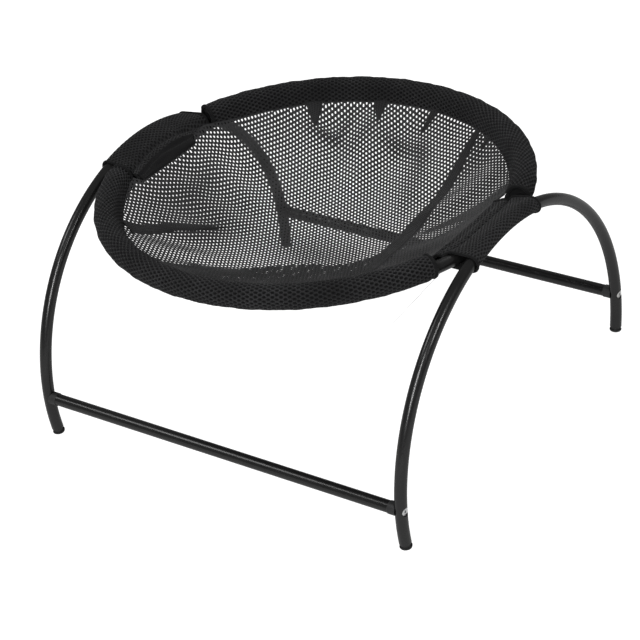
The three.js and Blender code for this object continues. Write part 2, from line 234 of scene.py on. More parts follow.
def set_inputs(made, values):
    for key, value in values.items():
        made.inputs[key].default_value = value


def node(tree, kind, values=None, **settings):
    """A node with its settings and the values of its unconnected inputs."""
    made = tree.nodes.new(kind)
    for key, value in settings.items():
        setattr(made, key, value)
    set_inputs(made, values or {})
    return made


def ramp(tree, factor, stops):
    """A colour ramp through (position, grey) stops."""
    made = tree.nodes.new("ShaderNodeValToRGB")
    spots = made.color_ramp.elements
    while len(spots) < len(stops):
        spots.new(0.5)
    for spot, (position, grey) in zip(spots, stops):
        spot.position = position
        spot.color = (grey, grey, grey, 1)
    tree.links.new(factor, made.inputs["Fac"])
    return made.outputs["Color"]


def in_object_space(group, textures):
    where = node(group, "ShaderNodeTexCoord")
    for texture in textures:
        group.links.new(where.outputs["Object"], texture.inputs["Vector"])


def bumps(group, height, distance, start, end):
    """Bumps from a height, as strong as the group's Relief, into its Normal."""
    bump = node(group, "ShaderNodeBump", {"Distance": distance})
    group.links.new(start.outputs["Relief"], bump.inputs["Strength"])
    group.links.new(height, bump.inputs["Height"])
    group.links.new(bump.outputs["Normal"], end.inputs["Normal"])


# %% Fine grain
def fine_grain():
    """Two noises, one per few millimetres and one per third of a millimetre, as relief and as a mask."""
    group, start, end = new_group(
        "Fine grain",
        {"Waves per metre": 250.0, "Grains per metre": 3000.0, "Relief": 0.2},
        {"Normal": "NodeSocketVector", "Patches": "NodeSocketFloat"},
    )
    link = group.links.new
    waves = node(group, "ShaderNodeTexNoise", {"Detail": 2.0})
    grains = node(group, "ShaderNodeTexNoise", {"Detail": 3.0})
    patches = node(group, "ShaderNodeTexNoise", {"Scale": 35.0, "Detail": 4.0})
    in_object_space(group, (waves, grains, patches))
    link(start.outputs["Waves per metre"], waves.inputs["Scale"])
    link(start.outputs["Grains per metre"], grains.inputs["Scale"])
    both = node(group, "ShaderNodeMath", {1: 0.35}, operation="MULTIPLY_ADD")
    link(grains.outputs["Fac"], both.inputs[0])
    link(waves.outputs["Fac"], both.inputs[2])
    bumps(group, both.outputs[0], 0.2 * MM, start, end)
    link(patches.outputs["Fac"], end.inputs["Patches"])
    return group


FINE_GRAIN = fine_grain()


# %% Yarn
def yarn():
    """Filaments are thin stretched noise, lint is a sparse fine noise, and fade is slow and wide."""
    group, start, end = new_group(
        "Yarn",
        {"Threads per metre": 2600.0, "Relief": 0.6},
        {"Normal": "NodeSocketVector", "Streaks": "NodeSocketFloat", "Fade": "NodeSocketFloat"},
    )
    link = group.links.new
    strands = node(group, "ShaderNodeTexVoronoi", feature="F1")
    fuzz = node(group, "ShaderNodeTexNoise", {"Detail": 4.0, "Roughness": 0.7})
    fade = node(group, "ShaderNodeTexNoise", {"Scale": 22.0, "Detail": 3.0})
    in_object_space(group, (strands, fuzz, fade))
    for texture in (strands, fuzz):
        link(start.outputs["Threads per metre"], texture.inputs["Scale"])
    height = node(group, "ShaderNodeMath", operation="SUBTRACT")
    link(fuzz.outputs["Fac"], height.inputs[0])
    link(strands.outputs["Distance"], height.inputs[1])
    bumps(group, height.outputs[0], 0.3 * MM, start, end)
    # The same streaks lighten the knits' colour as a painted sheen as well as yarn grain.
    link(strands.outputs["Distance"], end.inputs["Streaks"])
    link(fade.outputs["Fac"], end.inputs["Fade"])
    return group


YARN = yarn()
print("node groups:", [g.name for g in bpy.data.node_groups])

# %% [markdown]
# ## The finishes
#
# Black things are only told apart by how they shine. Powder coat has a soft, narrow highlight. The
# foot caps and collars are duller. The bolts are bright zinc. The fabrics hardly shine at all; their
# colour is painted greyer on the raised strands and darker in the depths between them, as painted
# sheen where light catches the filaments that stand up and painted shade in the depths.

# %% Start a material
def new_material(name, group, values):
    """A material with a Principled shader and one placed group, and a colour mix to paint it by."""
    material = bpy.data.materials.new(name)
    material.use_nodes = True
    tree = material.node_tree
    shader = tree.nodes["Principled BSDF"]
    effect = node(tree, "ShaderNodeGroup", node_tree=group)
    set_inputs(effect, values)
    tree.links.new(effect.outputs["Normal"], shader.inputs["Normal"])
    return material, tree, shader, effect


def tint(tree, factor, dark, light, target):
    """Mixes two colours by a factor and feeds the result to a socket."""
    mix = node(tree, "ShaderNodeMix", data_type="RGBA")
    set_inputs(mix, {"A": (*dark, 1), "B": (*light, 1)})
    tree.links.new(factor, mix.inputs["Factor"])
    tree.links.new(mix.outputs["Result"], target)


# %% Powder coat, plastic and zinc
def hard_finish(name, waves, relief, dark, light, rough, shine):
    """Fine grain over a surface whose colour and roughness both drift slowly between two values."""
    material, tree, shader, effect = new_material(
        name, FINE_GRAIN, {"Waves per metre": waves, "Relief": relief}
    )
    patches = effect.outputs["Patches"]
    tint(tree, patches, dark, light, shader.inputs["Base Color"])
    tree.links.new(ramp(tree, patches, [(0.3, rough[0]), (0.7, rough[1])]), shader.inputs["Roughness"])
    set_inputs(shader, shine)
    return material


# Near black and satin, with the faint orange peel of sprayed powder.
POWDER_COAT = hard_finish("Powder coat", 420.0, 0.05, (0.008, 0.008, 0.0085), (0.013, 0.0128, 0.0125),
                          (0.20, 0.29), {"Specular IOR Level": 0.55})
# Moulded polypropylene: even, fine-grained and duller than the paint.
PLASTIC = hard_finish("Black plastic", 900.0, 0.35, (0.020, 0.020, 0.021), (0.030, 0.030, 0.030),
                      (0.48, 0.6), {})
# Bright plated steel with a cloudy, slightly blue and straw bloom.
ZINC = hard_finish("Zinc plate", 1200.0, 0.15, (0.78, 0.80, 0.83), (0.90, 0.88, 0.84),
                   (0.22, 0.38), {"Metallic": 1.0})


# %% Fabrics
def knit(name, dark, light, threads, relief, sheen):
    """Matt black yarn: colour wanders between two greys with the painted sheen streaks and fades slowly,
    and goes to the darker one between raised strands as painted shade."""
    material, tree, shader, effect = new_material(
        name, YARN, {"Threads per metre": threads, "Relief": relief}
    )
    link = tree.links.new
    blend = node(tree, "ShaderNodeMath", operation="MULTIPLY")
    link(effect.outputs["Streaks"], blend.inputs[0])
    link(effect.outputs["Fade"], blend.inputs[1])
    # Painted shade: the deeper a point lies between the strands, the darker its colour.
    depth = node(tree, "ShaderNodeAttribute", attribute_name="Depth")
    unshaded_share = node(tree, "ShaderNodeMath", {0: 1.0}, operation="SUBTRACT")
    link(depth.outputs["Fac"], unshaded_share.inputs[1])
    painted_light_and_tone = node(tree, "ShaderNodeMath", operation="MULTIPLY")
    link(blend.outputs[0], painted_light_and_tone.inputs[0])
    link(unshaded_share.outputs[0], painted_light_and_tone.inputs[1])
    tint(tree, painted_light_and_tone.outputs[0], dark, light, shader.inputs["Base Color"])
    set_inputs(shader, {
        "Roughness": 0.72, "Specular IOR Level": 0.18, "Sheen Weight": sheen, "Sheen Roughness": 0.45,
    })
    return material


SPACER_MESH = knit("Spacer mesh", (0.004, 0.004, 0.0043), (0.105, 0.105, 0.109), 2400.0, 0.7, 0.08)
NET = knit("Net", (0.014, 0.014, 0.0145), (0.095, 0.095, 0.098), 3200.0, 0.5, 0.10)
# Near-black: the hems' own colour, and painted shade on the left pocket's fold.
HEM_AND_SHADE_CLOTH = knit("Hem cloth and painted shade", (0.004, 0.004, 0.0043), (0.02, 0.02, 0.021), 2800.0, 0.8, 0.03)
THREAD = knit("Sewing thread", (0.012, 0.012, 0.013), (0.05, 0.05, 0.052), 5200.0, 0.6, 0.1)
print("materials:", [m.name for m in bpy.data.materials])

# %% [markdown]
# ## Tubes along a path
#
# A bent tube is a circle carried along a curve. At each point of the curve two directions across it
# are needed, and here they are always easy to name: every path lies in a plane, so one of them is
# that plane's own direction and the other is square to it and to the path.

# %% Carry a section along a path
def along(path, side, section):
    """Points path + a * side + b * (tangent x side) for each (a, b) of the section: (rows, columns, 3)."""
    tangent = unit(np.gradient(path, axis=0))
    side = unit(side - (side * tangent).sum(1, keepdims=True) * tangent)
    other = np.cross(tangent, side)
    section = np.broadcast_to(section, (len(path),) + np.shape(section)[-2:])
    return path[:, None] + section[..., :1] * side[:, None] + section[..., 1:] * other[:, None]


def circle(radius, count=40, turns=None):
    turns = np.arange(count) * TAU / count if turns is None else turns
    return np.stack([radius * np.cos(turns), radius * np.sin(turns)], -1)


def tube(path, side, radius, count=40):
    """A closed tube with flat ends."""
    points = along(path, side, circle(radius, count))
    return points.reshape(-1, 3), solid_faces(len(path), count)


def lathe(profile, count=40):
    """A profile of (distance from the axis, height) turned round the Z axis, closed at both ends."""
    profile = np.asarray(profile, float)
    turns = np.arange(count) * TAU / count
    points = np.stack([
        profile[:, :1] * np.cos(turns),
        profile[:, :1] * np.sin(turns),
        np.broadcast_to(profile[:, 1:], (len(profile), count)),
    ], -1)
    return points.reshape(-1, 3), solid_faces(len(profile), count)


def turned(points, z_axis, origin):
    """Points drawn round Z, turned so that Z points along z_axis, and moved to origin."""
    turn = Vector((0, 0, 1)).rotation_difference(Vector(z_axis)).to_matrix()
    return points @ np.array(turn).T + np.asarray(origin)


# %% [markdown]
# ## The arches
#
# An arch is one bent tube. Its points are spaced evenly, except near the two bolt holes, where they
# crowd together so that the hole has a clean round edge: points next to the hole's circle are pulled
# onto it, and points inside it drop to the seat of the bolt's head.

# %% Arch tubes
CAP_HEAD = 3 * MM
CAP_TRIM = 0.9 * MM
BOLT_HEAD = TUBE_RADIUS - TUBE_WALL - 0.8 * MM
BOLT_HOLE = BOLT_HEAD + 0.3 * MM
BOLT_SEAT = -2.4 * MM
FOOT_ANGLE = np.pi / 2 + np.arcsin((ARCH_CENTRE - CAP_HEAD + CAP_TRIM) / ARCH_RADIUS)


def arch_point(side, angle):
    """Angle 0 is the top and positive angles go to the rear: a circle whose X leans with height."""
    z = ARCH_CENTRE + ARCH_RADIUS * np.cos(angle)
    return np.stack([side * arch_x(z), ARCH_RADIUS * np.sin(angle), z], -1)


def crowded(start, stop, step, spots, near, fine):
    """Values from start to stop, a step apart, but a fine step apart within near of each spot."""
    values = [np.arange(start, stop, step), [stop]]
    for spot in spots:
        values = [np.concatenate(values)]
        values = [values[0][np.abs(values[0] - spot) > near], np.arange(spot - near, spot + near, fine)]
    values = np.unique(np.round(np.concatenate(values), 9))
    return values[(values >= start) & (values <= stop)]


def arch(side):
    """The tube's skin, with a round pit in its outer side for the head of each bolt."""
    fine = 0.3 * MM
    angles = crowded(
        -FOOT_ANGLE, FOOT_ANGLE, 0.018, [-CROSSBAR_ANGLE, CROSSBAR_ANGLE], 0.03, fine / ARCH_RADIUS
    )
    turns = crowded(-np.pi, np.pi - 0.12, 0.15, [0.0], 1.0, fine / TUBE_RADIUS)
    path = arch_point(side, angles)
    outwards = np.tile([side * 1.0, 0.0, 0.0], (len(path), 1))
    points = along(path, outwards, circle(TUBE_RADIUS, turns=turns)).reshape(-1, 3)
    for end in (-1, 1):
        off = points[:, 1:] - [end * CROSSBAR_Y, CROSSBAR_HEIGHT]
        far = np.hypot(*off.T)
        outer = side * points[:, 0] > ARCH_AT_BAR
        rim = outer & (np.abs(far - BOLT_HOLE) < 0.55 * fine)
        points[rim, 1:] += off[rim] * (BOLT_HOLE / far[rim] - 1)[:, None]
        pit = outer & (far < BOLT_HOLE - 0.55 * fine)
        points[pit, 0] = side * (ARCH_AT_BAR + BOLT_SEAT)
    return points, solid_faces(len(angles), len(turns))


for side_name, side in SIDES.items():
    made = piece(f"{side_name}_arch", *arch(side), POWDER_COAT, "powder_coat",
                 replaces=[f"{side_name}_arch_tube"])
    print(made.name, len(made.data.polygons), "faces")

# %% [markdown]
# ## Crossbars, collars, foot caps and bolts
#
# Each crossbar ends in a moulded collar that is hollowed to sit against the arch. A bolt goes through
# the arch and the collar into a threaded insert pressed into the bar. A plug with a rounded head
# closes each foot. They are all turned shapes, drawn once round an axis and moved to the corners.

# %% Crossbars and ring tubes
BAR_END = ARCH_AT_BAR - TUBE_RADIUS - 3 * MM
RING_GAP = 0.0014  # from each end of a half ring to the middle of the joint, as an angle
UP = np.array([[0, 0, 1.0]])
CORNERS = [(f"{end_name}_{side_name}", side, end)
           for side_name, side in SIDES.items() for end_name, end in ENDS.items()]

for end_name, end in ENDS.items():
    bar_end = np.array([BAR_END, end * CROSSBAR_Y, CROSSBAR_HEIGHT])
    bar = np.linspace(bar_end * [-1, 1, 1], bar_end, 24)
    piece(f"{end_name}_bar", *tube(bar, UP, TUBE_RADIUS, 48), POWDER_COAT, "powder_coat",
          replaces=[f"{end_name}_crossbar"])
    angles = end * np.linspace(RING_GAP, np.pi - RING_GAP, 180)
    half = np.stack([RIM_RADIUS * np.cos(angles), RIM_RADIUS * np.sin(angles), RIM_HEIGHT + 0 * angles], -1)
    piece(f"{end_name}_ring_half", *tube(half, UP, TUBE_RADIUS), POWDER_COAT, "powder_coat",
          replaces=[f"{end_name}_rim_tube"])

# %% Foot caps
def foot_cap():
    """A plug below a lip, then a rounded head: an arc from the lip's edge to a flat bottom."""
    bend = np.linspace(0, np.pi / 2, 9)
    soft = 1.8 * MM
    head = np.stack([TUBE_RADIUS - soft + soft * np.sin(bend), -CAP_HEAD + soft - soft * np.cos(bend)], -1)
    lip = [[TUBE_RADIUS + 0.15 * MM, -0.9 * MM], [TUBE_RADIUS + 0.2 * MM, -0.5 * MM],
           [TUBE_RADIUS + 0.05 * MM, -0.3 * MM]]
    inside = TUBE_RADIUS - TUBE_WALL - 0.6 * MM
    plug = [[inside, -0.3 * MM], [inside, 7 * MM], [inside - 1 * MM, 8 * MM], [0.3 * MM, 8 * MM]]
    return lathe(np.concatenate([[[0.3 * MM, -CAP_HEAD]], head, lip, plug]))


def direction(end, side):
    """Up the leg from a foot: the arch's tangent there."""
    a, b = arch_point(side, np.array([end * FOOT_ANGLE, end * (FOOT_ANGLE - 0.001)]))
    return unit(b - a)


for corner, side, end in CORNERS:
    points, faces = foot_cap()
    points = turned(points, direction(end, side), arch_point(side, np.array(end * FOOT_ANGLE)))
    points[:, 2] = np.maximum(points[:, 2], 0.0)
    piece(f"{corner}_foot", points, faces, PLASTIC, "black_plastic", replaces=[f"{corner}_foot_cap"])

# %% Bolts
def bolt():
    """Drawn along Z from the arch's axis: a barrel head with a chamfered edge, a six-sided key hole,
    and a shank whose thread is a row of fine ridges."""
    count = 48
    turns = np.arange(count) * TAU / count
    face = TUBE_RADIUS - 1.5 * MM
    key = 1.6 * MM
    hexagon = key * np.cos(np.pi / 6) / np.cos((turns + np.pi / 6) % (np.pi / 3) - np.pi / 6)
    ridges = 44
    thread = np.where(np.arange(ridges) % 2, 2.5 * MM, 2.15 * MM)
    shank = np.linspace(BOLT_SEAT - 0.5 * MM, BOLT_SEAT - 21.5 * MM, ridges)
    round_rows = [
        (BOLT_HEAD - 0.5 * MM, face), (BOLT_HEAD - 0.12 * MM, face - 0.12 * MM),
        (BOLT_HEAD, face - 0.5 * MM), (BOLT_HEAD, BOLT_SEAT), *zip(thread, shank), (0.4 * MM, shank[-1]),
    ]
    rings = [(0.1 * MM + 0 * turns, face - 2.4 * MM), (hexagon, face - 2.2 * MM), (hexagon, face - 0.15 * MM),
             (hexagon + 0.15 * MM, face)]
    rings += [(radius + 0 * turns, height) for radius, height in round_rows]
    points = np.stack([
        np.stack([r * np.cos(turns), r * np.sin(turns), np.full(count, h)], -1) for r, h in rings
    ])
    return points.reshape(-1, 3), flipped(solid_faces(len(rings), count))


for corner, side, end in CORNERS:
    points, faces = bolt()
    points = turned(points, (side, 0, 0), (side * ARCH_AT_BAR, end * CROSSBAR_Y, CROSSBAR_HEIGHT))
    piece(f"{corner}_bolt", points, faces, ZINC, "zinc_steel", replaces=[f"{corner}_crossbar_bolt"])

# %% Collars
SEAT_LEAN = np.pi / 2 - CROSSBAR_ANGLE


def collar(side, end):
    """A sleeve over the bar's end whose mouth is hollowed: each of its last points stops where it
    meets the leaning arch's cylinder, or short of its middle."""
    count = 72
    turns = np.arange(count) * TAU / count
    inner = TUBE_RADIUS + 0.1 * MM
    outer = TUBE_RADIUS + 0.6 * MM
    start = BAR_END - ARCH_AT_BAR - 3.5 * MM
    profile = [
        (inner, start + 1.0 * MM), (inner, start), (outer - 0.35 * MM, start), (outer, start + 0.4 * MM),
        (outer, start + 3 * MM), (outer, -9.5 * MM), (outer, -0.2 * MM),
        (outer - 0.6 * MM, 0.0), (4 * MM, 0.0), (0.3 * MM, 0.0),
    ]
    rows = []
    for radius, reach in profile:
        across, up = radius * np.cos(turns), radius * np.sin(turns)
        off = across * np.cos(SEAT_LEAN) + side * end * up * np.sin(SEAT_LEAN)
        seat = -np.sqrt(np.maximum((TUBE_RADIUS + 0.25 * MM) ** 2 - off**2, (3.6 * MM) ** 2))
        rows.append(np.stack([np.minimum(reach, seat), side * across, up], -1))
    points = np.stack(rows).reshape(-1, 3)
    points[:, 0] *= side
    points += [side * ARCH_AT_BAR, end * CROSSBAR_Y, CROSSBAR_HEIGHT]
    return points, flipped(solid_faces(len(rows), count))


for corner, side, end in CORNERS:
    piece(f"{corner}_collar", *collar(side, end), PLASTIC, "black_plastic",
          replaces=[f"{corner}_crossbar_saddle"])

# %% Hidden steel
for name, cad_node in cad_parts.items():
    if "insert" in name or "spigot" in name:
        cad_node.data.materials.clear()
        cad_node.data.materials.append(ZINC)

# %% [markdown]
# ## Mesh fabric with real openings
#
# The cover is knitted so that its strands leave a honeycomb of openings. Painted holes would
# look flat, so the strands are modelled. The cloth is first drawn flat, in its own two directions:
# a honeycomb of six-sided cells, each with a smaller six-sided opening. Corners on the outside edge
# are pulled onto the line where the cloth is cut. Then every point of the flat cloth is carried to its
# place on the bed.

# %% A honeycomb on flat cloth
def honeycomb(pitch, low, high, inside, to_edge, openings, upright=False, pull=np.eye(2)):
    """Cell centres stand in rows a pitch apart, each row shifted by half a pitch. upright turns the rows
    to run along the second direction, and pull is a matrix that stretches the knit. openings is one
    share of the cell or a function of the cells' middles. Gives corner places, corners of each cell,
    openings and border."""
    low, high = np.array(low, float), np.array(high, float)
    if upright:
        low, high = low[::-1], high[::-1]
    row_gap = pitch * np.sqrt(3) / 2
    j = np.arange(np.floor(low[1] / row_gap) - 1, np.ceil(high[1] / row_gap) + 2)
    i = np.arange(np.floor(low[0] / pitch) - 2, np.ceil(high[0] / pitch) + 2)
    centres = np.stack([(i[None] + 0.5 * (j[:, None] % 2)) * pitch, j[:, None] * row_gap + 0 * i[None]], -1)
    centres = centres.reshape(-1, 2)
    turns = np.pi / 6 + np.arange(6) * np.pi / 3
    spokes = circle(pitch / np.sqrt(3), turns=turns)
    if upright:
        centres, spokes = centres[:, ::-1], spokes[::-1, ::-1]
    centres = centres[inside(centres @ pull.T)]
    corners = centres[:, None] + spokes
    keys = np.round(corners.reshape(-1, 2) / (pitch * 0.05)).astype(np.int64)
    _, first, cells = np.unique(keys, axis=0, return_index=True, return_inverse=True)
    places = corners.reshape(-1, 2)[first] @ pull.T
    cells = cells.reshape(-1, 6)
    edges = np.stack([cells, np.roll(cells, -1, 1)], -1).reshape(-1, 2)
    codes = edges[:, 0] * len(places) + edges[:, 1]
    border = edges[~np.isin(edges[:, 1] * len(places) + edges[:, 0], codes)]
    rim = np.unique(border)
    places[rim] = to_edge(places[rim])
    middles = places[cells].mean(1, keepdims=True)
    if callable(openings):
        openings = openings(middles[:, 0])[:, None, None]
    holes = middles + (places[cells] - middles) * np.asarray(openings)
    return places, cells, holes, border


def upper_faces(cells, border, count, edge):
    """Quads from each cell's corners to the edge of its opening, and walls down the cut edge to the
    lower corners, which are numbered count further on."""
    top = np.stack([cells, np.roll(cells, -1, 1), np.roll(edge, -1, 1), edge], -1).reshape(-1, 4)
    wall = np.stack([border[:, 1], border[:, 0], border[:, 0] + count, border[:, 1] + count], -1)
    return top, wall


def net_cloth(pattern, surface, thickness):
    """Open net: each strand is lens-shaped, thickest midway between two openings and thin at their
    edges, so the upper and lower skins share the edge of every opening."""
    places, cells, holes, border = pattern
    at, out = surface(places)
    hole_at, _ = surface(holes.reshape(-1, 2))
    count = len(places)
    points = np.concatenate([at + out * thickness / 2, at - out * thickness / 2, hole_at])
    edge = 2 * count + np.arange(len(cells) * 6).reshape(-1, 6)
    top, wall = upper_faces(cells, border, count, edge)
    after = np.roll(cells, -1, 1)
    under = np.stack([after + count, cells + count, edge, np.roll(edge, -1, 1)], -1).reshape(-1, 4)
    return points, [top, under, wall]


def spacer_cloth(pattern, surface, thickness, depth):
    """Thick mesh: raised strands round dimples that do not go through, over a plain underside."""
    places, cells, holes, border = pattern
    at, out = surface(places)
    holes = holes.reshape(-1, 2)
    lip_at, lip_out = surface(holes)
    middle = holes.reshape(-1, 6, 2).mean(1, keepdims=True)
    floor_places = (middle + 0.8 * (holes.reshape(-1, 6, 2) - middle)).reshape(-1, 2)
    floor_at, floor_out = surface(floor_places)
    count, rims = len(places), len(holes)
    points = np.concatenate([
        at, at - out * thickness, lip_at - lip_out * 0.35 * depth, floor_at - floor_out * depth,
    ])
    lip = 2 * count + np.arange(rims).reshape(-1, 6)
    floor = lip + rims
    top, wall = upper_faces(cells, border, count, lip)
    drop = np.stack([lip, np.roll(lip, -1, 1), np.roll(floor, -1, 1), floor], -1).reshape(-1, 4)
    # How far down each point lies, which the fabric materials turn into painted shade.
    depth = np.repeat([0.0, 1.0, 0.55, 1.0], [count, count, rims, rims])
    return points, [top, drop, floor, cells[:, ::-1] + count, wall], depth


def strip(length, width):
    """Which cells lie on a rectangular strip of cloth, and how to pull its border to its cut edges."""
    size = np.array([length, width])
    margin = 0.3 * MM

    def inside(p):
        return ((p > -margin) & (p < size + margin)).all(1)

    def to_edge(p):
        gaps = np.concatenate([p, size - p], 1)
        side = np.abs(gaps).argmin(1)
        p = p.copy()
        p[side == 0, 0], p[side == 1, 1] = 0, 0
        p[side == 2, 0], p[side == 3, 1] = length, width
        return np.clip(p, 0, size)

    return inside, to_edge


# %% Cloth carried on a grid of points
def on_grid(grid, size):
    """A surface through a grid of points: cloth places become fractions of its size, the point is
    mixed from the four nearest, and the way out is square to both directions of the grid."""
    rows, columns = grid.shape[:2]
    out = np.cross(np.gradient(grid, axis=0), np.gradient(grid, axis=1))
    out /= np.maximum(np.linalg.norm(out, axis=-1, keepdims=True), 1e-12)

    def surface(places):
        s = np.clip(places[:, 0] / size[0], 0, 1) * (rows - 1)
        t = np.clip(places[:, 1] / size[1], 0, 1) * (columns - 1)
        i, j = np.minimum(s.astype(int), rows - 2), np.minimum(t.astype(int), columns - 2)
        a, b = (s - i)[:, None], (t - j)[:, None]

        def mixed(g):
            near = g[i, j] * (1 - a) * (1 - b) + g[i + 1, j] * a * (1 - b)
            return near + g[i, j + 1] * (1 - a) * b + g[i + 1, j + 1] * a * b

        return mixed(grid), unit(mixed(out))

    return surface


def wrapped(circles, start, count=160):
    """The outline of a band pulled tight round circles (across, up, radius). In each direction the
    outline touches the circle that reaches furthest; the points are then spaced evenly along it. It
    starts on the side that faces start and goes over the top."""
    circles = np.asarray(circles, float)
    turns = start - np.linspace(0, TAU, 1440)
    out = np.stack([np.cos(turns), np.sin(turns)], -1)
    furthest = (out @ circles[:, :2].T + circles[:, 2]).argmax(1)
    points = circles[furthest, :2] + circles[furthest, 2:] * out
    length = np.concatenate([[0], np.hypot(*np.diff(points, axis=0).T).cumsum()])
    even = np.linspace(0, length[-1], count)
    return np.stack([np.interp(even, length, points[:, k]) for k in (0, 1)], -1), length[-1]


# %% [markdown]
# ## The rim sleeves
#
# A sleeve is a strip of thick spacer mesh rolled round padding and round the ring, and sewn shut
# along its inner edge, where the net is caught in the same seam. Its section is a drop: round over
# the ring, flat where it runs down to the seam. A real roll is never quite even, so its radius
# wanders by half a millimetre. Both ends are turned in and hemmed.

# %% Sleeve shape
SEWN_RADIUS = 1.4 * MM  # of the fold of cloth at a sewn edge
SLEEVE_ROLL = (-1.7 * MM, 3.3 * MM, 13 * MM)
SLEEVE_EDGE = (SEAM_RADIUS - RIM_RADIUS, SEAM_HEIGHT - RIM_HEIGHT, SEWN_RADIUS)
TOWARDS_SEAM = np.arctan2(SLEEVE_EDGE[1] - SLEEVE_ROLL[1], SLEEVE_EDGE[0] - SLEEVE_ROLL[0]) + TAU
SLEEVE_OUTLINE, SLEEVE_GIRTH = wrapped([SLEEVE_ROLL, SLEEVE_EDGE], TOWARDS_SEAM)
HEM_RADIUS = SEAM_RADIUS - SEWN_RADIUS


def hem_angle(y):
    return np.arcsin(y / HEM_RADIUS)


LEFT_HEMS = (-57 * MM, 74 * MM)
RIGHT_HEMS = (-64 * MM, 54 * MM)
# Along Y from a pocket's hem to the sleeve's end beside it: front left and right, rear right and left.
HEM_GAPS = np.array([4.4, 16.8, 4, 0.6]) * MM
SLEEVE_ENDS = {
    "front": (hem_angle(HEM_GAPS[0] - LEFT_HEMS[0]) - np.pi, hem_angle(RIGHT_HEMS[0] - HEM_GAPS[1])),
    "rear": (hem_angle(RIGHT_HEMS[1] + HEM_GAPS[2]), np.pi - hem_angle(LEFT_HEMS[1] + HEM_GAPS[3])),
}


def unevenness(along_it, round_it):
    """Slow waves of the padded roll, in metres: three sines that never line up."""
    wave = np.sin(31 * along_it + 2 * round_it) + np.sin(53 * along_it - 3 * round_it + 1)
    return 0.22 * MM * (wave + 0.7 * np.sin(97 * along_it + round_it + 4))


def sleeve_grid(start, stop, rows=220, shrink=1.0):
    """The drop-shaped outline carried round the ring; near each end the roll is drawn in a little."""
    angle = np.linspace(start, stop, rows)
    outline = SLEEVE_OUTLINE
    share = np.linspace(0, 1, len(outline))
    to_end = np.minimum(angle - start, stop - angle) * RIM_RADIUS
    drawn = 1 - 0.10 * np.exp(-((to_end / (7 * MM)) ** 2))
    centre = np.array(SLEEVE_ROLL[:2])
    offset = centre + (outline - centre) * (shrink * drawn[:, None, None])
    lumps = unevenness(angle[:, None], TAU * share[None]) * np.sin(np.pi * share)
    offset = offset + unit(outline - centre)[None] * lumps[..., None]
    radius = RIM_RADIUS + offset[..., 0]
    return np.stack([
        radius * np.cos(angle)[:, None], radius * np.sin(angle)[:, None], RIM_HEIGHT + offset[..., 1]
    ], -1)


# %% Sleeves
SLEEVE_PITCH = 4.6 * MM
SLEEVE_CLOTH = 2.4 * MM
SLEEVE_DIMPLE = 1.9 * MM

for end_name in ENDS:
    start, stop = SLEEVE_ENDS[end_name]
    size = ((stop - start) * RIM_RADIUS, SLEEVE_GIRTH)
    pattern = honeycomb(SLEEVE_PITCH, (0, 0), size, *strip(*size), (0.78, 0.56), upright=True)
    rolled = on_grid(sleeve_grid(start, stop)[::-1], size)
    points, faces, depth = spacer_cloth(pattern, rolled, SLEEVE_CLOTH, SLEEVE_DIMPLE)
    made = piece(f"{end_name}_sleeve", points, faces, SPACER_MESH, "spacer_mesh", crease=75,
                 replaces=[f"{end_name}_rim_sleeve"], depth=depth)
    print(made.name, [round(x, 3) for x in size], "m flat;", len(made.data.polygons), "faces")


# %% Hems at the sleeves' ends
def bead(loop, radius, count=12):
    """A rolled edge: a thin tube along a closed loop of points."""
    tangent = unit(np.roll(loop, -1, 0) - np.roll(loop, 1, 0))
    side = loop - loop.mean(0)
    side = unit(side - (side * tangent).sum(1, keepdims=True) * tangent)
    other = np.cross(tangent, side)
    section = circle(1.0, count)
    size = np.broadcast_to(radius, (len(loop),))[:, None, None]
    points = loop[:, None] + size * (section[:, :1] * side[:, None] + section[:, 1:] * other[:, None])
    return points.reshape(-1, 3), [grid_faces(len(loop), count, closed=True)]


def sleeve_hem(angle):
    """The outline at one end, drawn in a little, as a fat roll that is slightly lumpy."""
    loop = sleeve_grid(angle, angle + 0.001, rows=2)[0][:-1]
    middle = loop.mean(0)
    loop = middle + (loop - middle) * 0.94
    turn = np.arange(len(loop)) * TAU / len(loop)
    return bead(loop, 2.0 * MM + 0.25 * MM * np.sin(5 * turn) + 0.15 * MM * np.sin(11 * turn + 1))


def padding(end_name):
    """The wadding inside a sleeve: the same drop, a size smaller, closed at its ends."""
    start, stop = SLEEVE_ENDS[end_name]
    inset = 0.8 * MM / RIM_RADIUS
    grid = sleeve_grid(start + inset, stop - inset, rows=90, shrink=0.80)[:, :-1]
    return grid.reshape(-1, 3), solid_faces(*grid.shape[:2])


for end_name in ENDS:
    points, faces = join_meshes([sleeve_hem(a) for a in SLEEVE_ENDS[end_name]])
    piece(f"{end_name}_sleeve_hems", points, faces, HEM_AND_SHADE_CLOTH, "spacer_mesh")
    points, faces = padding(end_name)
    piece(f"{end_name}_sleeve_wadding", points, faces, HEM_AND_SHADE_CLOTH, "spacer_mesh")

# %% [markdown]
# ## The side pockets
#
# At each side a wide band of the same mesh is wrapped tight round the arch and the ring together.
# Because it is pulled taut its section is the tightest outline round three circles: the arch tube,
# the ring tube and the sewn edge. A row of stitches between the ring and the sewn edge makes a
# groove, and the loose part beyond it lies in two soft ridges.

# %% Pocket shape
POCKET_WRAP = TUBE_RADIUS + 2 * MM
POCKET_PITCH = 3.9 * MM
POCKET_CLOTH = 1.3 * MM
POCKET_DIMPLE = 0.8 * MM
GROOVE = 10.5 * MM  # inwards from the ring's axis
FOLD_START = 19 * MM


def ease(x):
    """From 0 to 1, slow at both ends."""
    x = np.clip(x, 0, 1)
    return x * x * (3 - 2 * x)


def sewn_edge(side, y):
    """How far out a pocket is sewn to the net; the left one is sewn further out near its rear hem."""
    return POCKET_SEAM + 2 * MM + (7 * MM * ease((y - 33 * MM) / (12 * MM)) if side < 0 else 0 * y)


